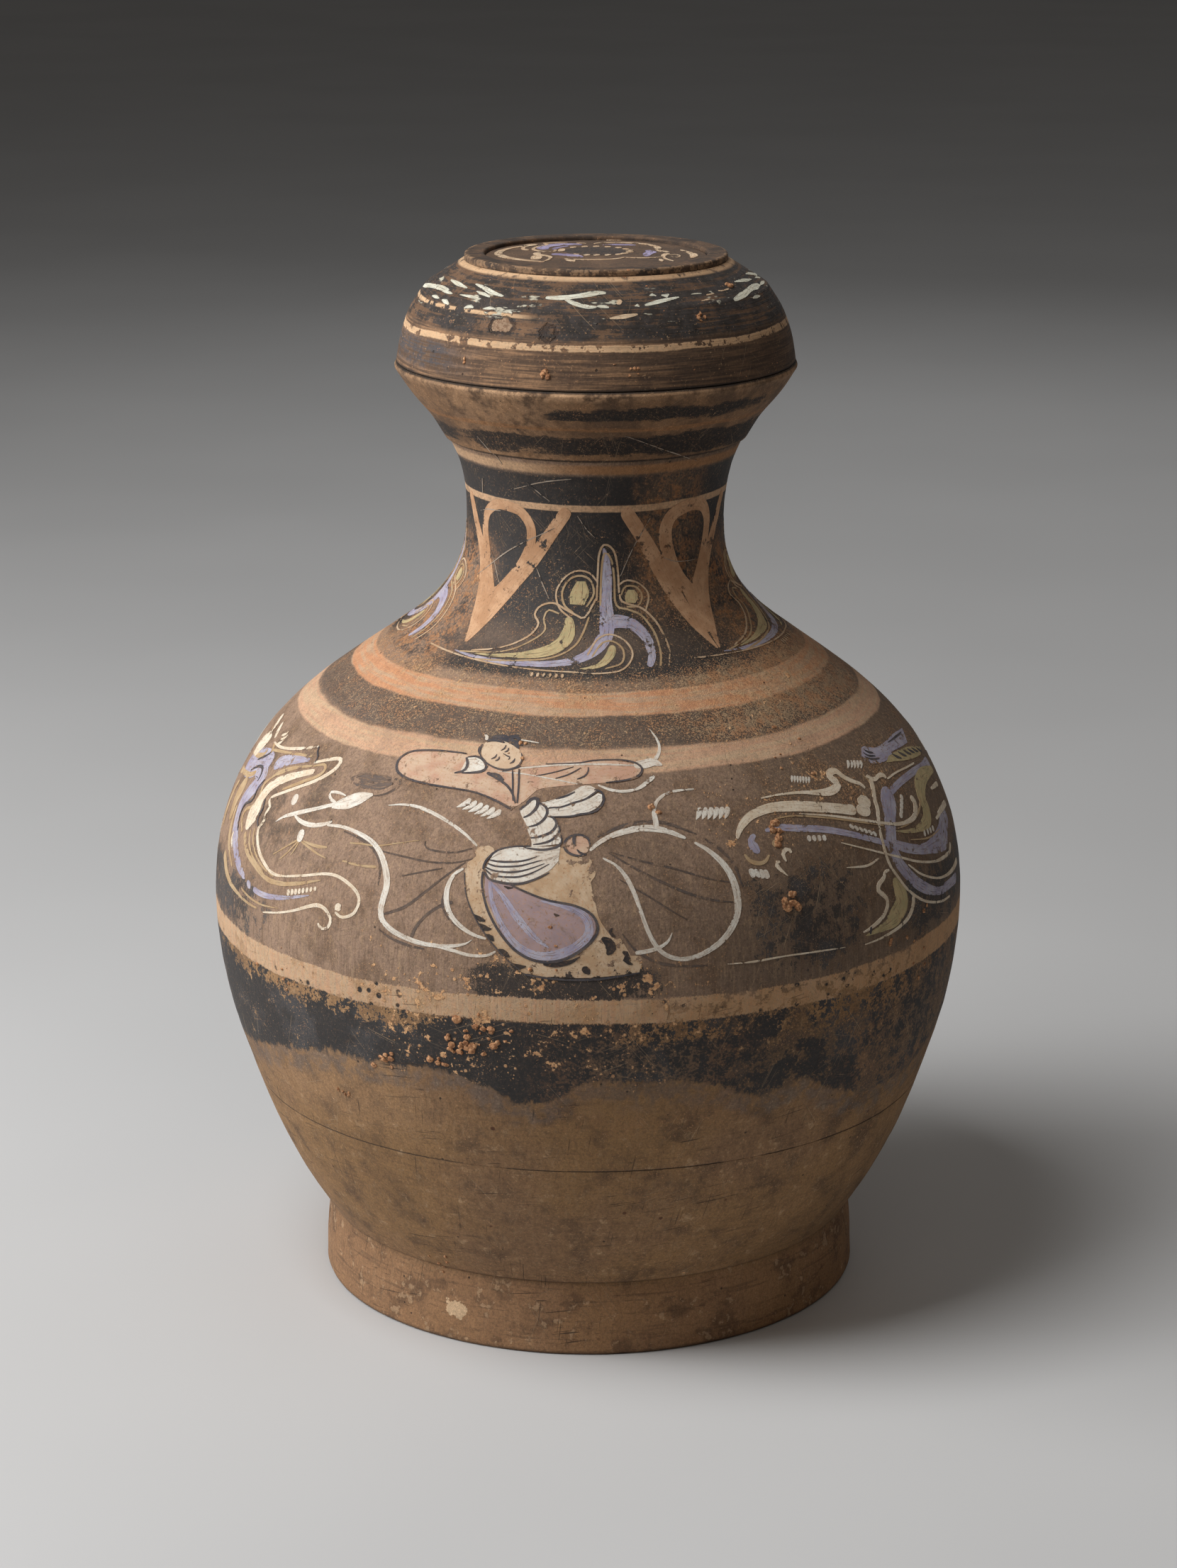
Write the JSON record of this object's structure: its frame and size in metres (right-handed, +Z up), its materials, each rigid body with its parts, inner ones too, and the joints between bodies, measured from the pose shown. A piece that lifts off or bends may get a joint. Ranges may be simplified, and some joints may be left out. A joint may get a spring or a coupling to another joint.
{
  "type": "covered jar",
  "caption": "Tall earthenware storage jar with a wide belly, narrow neck, flared collar, ring foot and a loose domed lid with a raised ring on top.",
  "frame": {"origin": "on the surface that the foot rests on, under the middle of the belly", "axes": "+Z up along the axis of the jar and the longest side; -Y faces the viewer of the picture, +X to the right"},
  "size_m": [0.346, 0.346, 0.478],
  "materials": {
    "earthenware": "dry unglazed fired clay, scratched and stained with soil",
    "painted_ground": "dry brown clay with worn mineral paint",
    "black_ground": "worn black slip on dry clay",
    "cream_paint": "matt mineral paint, cream to peach, flaked and dusted with soil",
    "white_paint": "matt white mineral paint, laid with a dry brush",
    "lavender_paint": "matt pale violet mineral paint, rubbed",
    "brush_line": "thin dark brush line, partly rubbed off",
    "soil_crust": "dry tan burial soil, crumbly"
  },
  "bodies": {
    "jar": {"foot_ring": "earthenware", "lower_body": "earthenware", "upper_body": "painted_ground", "mouth_collar": "black_ground"},
    "lid": {"lid": "painted_ground", "lid_ring": "earthenware"}
  },
  "joints": [
    {"name": "lid_lift", "type": "slide", "parent": "jar", "child": "lid", "axis": [0, 0, 1], "range_m": [0, 0.1]}
  ]
}
